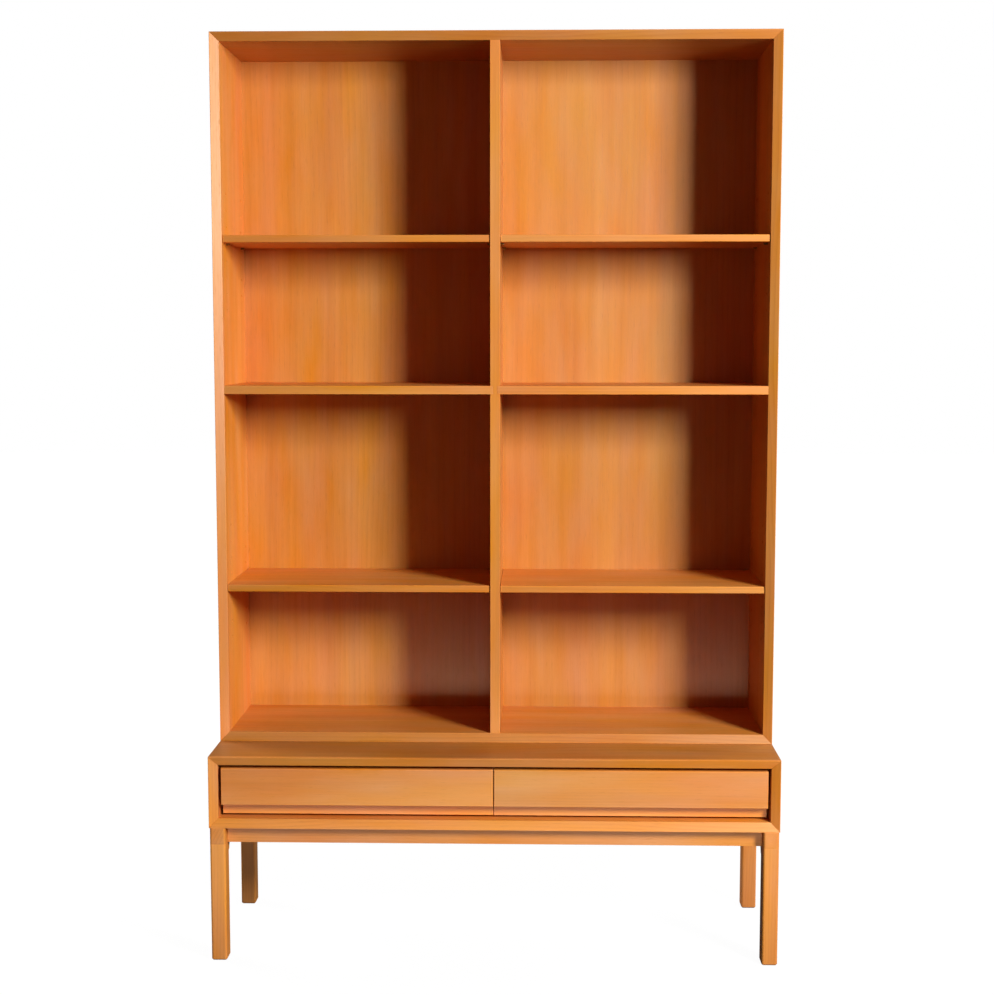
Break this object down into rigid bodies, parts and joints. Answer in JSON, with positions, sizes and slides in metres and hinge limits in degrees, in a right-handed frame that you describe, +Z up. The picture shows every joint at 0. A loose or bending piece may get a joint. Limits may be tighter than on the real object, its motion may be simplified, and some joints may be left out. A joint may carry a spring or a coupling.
{
  "type": "bookcase",
  "caption": "Tall oak bookcase in two parts: an open upper case with a divider and shelves, on a deeper low case with drawers and a stand with straight legs",
  "frame": {"origin": "on the floor, under the middle of the bookcase's overall box, which is also the middle of the base case", "axes": "+X to the viewer's right, +Y from the front to the rear, +Z up; the drawers open towards -Y"},
  "size_m": [1.2, 0.42, 1.955],
  "materials": {
    "beech": "beech dowel",
    "box_wood": "plain pale hardwood",
    "brass": "drawn brass",
    "oak": "oiled solid oak and oak veneer",
    "oak_veneer": "oak-veneered panel",
    "steel": "zinc-plated steel"
  },
  "bodies": {
    "case": {"base_back": "oak_veneer", "base_back_screws": "steel", "base_bottom": "oak", "base_partition": "oak", "base_side_left": "oak", "base_side_right": "oak", "base_top": "oak", "case_dowels": "beech", "fixed_shelf_left": "oak", "fixed_shelf_right": "oak", "front_leg_left": "oak", "front_leg_right": "oak", "left_runner_inner": "box_wood", "left_runner_outer": "box_wood", "leg_dowels": "beech", "long_rail_front": "oak", "long_rail_rear": "oak", "rail_dowels": "beech", "rear_leg_left": "oak", "rear_leg_right": "oak", "right_runner_inner": "box_wood", "right_runner_outer": "box_wood", "runner_screws": "steel", "shelf_pins": "brass", "side_rail_left": "oak", "side_rail_right": "oak", "stand_screws": "steel", "upper_back_left": "oak_veneer", "upper_back_right": "oak_veneer", "upper_back_screws": "steel", "upper_bottom": "oak", "upper_divider": "oak", "upper_side_left": "oak", "upper_side_right": "oak", "upper_top": "oak"},
    "left_drawer": {"left_drawer_back": "box_wood", "left_drawer_bottom": "oak_veneer", "left_drawer_front": "oak", "left_drawer_pull_rail": "oak", "left_drawer_screws": "steel", "left_drawer_side_inner": "box_wood", "left_drawer_side_outer": "box_wood"},
    "right_drawer": {"right_drawer_back": "box_wood", "right_drawer_bottom": "oak_veneer", "right_drawer_front": "oak", "right_drawer_pull_rail": "oak", "right_drawer_screws": "steel", "right_drawer_side_inner": "box_wood", "right_drawer_side_outer": "box_wood"},
    "loose_shelf_lower_left": {"lower_shelf_left": "oak"},
    "loose_shelf_lower_right": {"lower_shelf_right": "oak"},
    "loose_shelf_upper_left": {"upper_shelf_left": "oak"},
    "loose_shelf_upper_right": {"upper_shelf_right": "oak"}
  },
  "joints": [
    {"name": "left_drawer_slide", "type": "slide", "parent": "case", "child": "left_drawer", "axis": [0, -1, 0], "range_m": [0, 0.28]},
    {"name": "right_drawer_slide", "type": "slide", "parent": "case", "child": "right_drawer", "axis": [0, -1, 0], "range_m": [0, 0.28]},
    {"name": "lower_shelf_left_lift", "type": "slide", "parent": "case", "child": "loose_shelf_lower_left", "axis": [0, 0, 1], "range_m": [0, 0.0355]},
    {"name": "lower_shelf_right_lift", "type": "slide", "parent": "case", "child": "loose_shelf_lower_right", "axis": [0, 0, 1], "range_m": [0, 0.0355]},
    {"name": "upper_shelf_left_lift", "type": "slide", "parent": "case", "child": "loose_shelf_upper_left", "axis": [0, 0, 1], "range_m": [0, 0.0355]},
    {"name": "upper_shelf_right_lift", "type": "slide", "parent": "case", "child": "loose_shelf_upper_right", "axis": [0, 0, 1], "range_m": [0, 0.0355]}
  ]
}
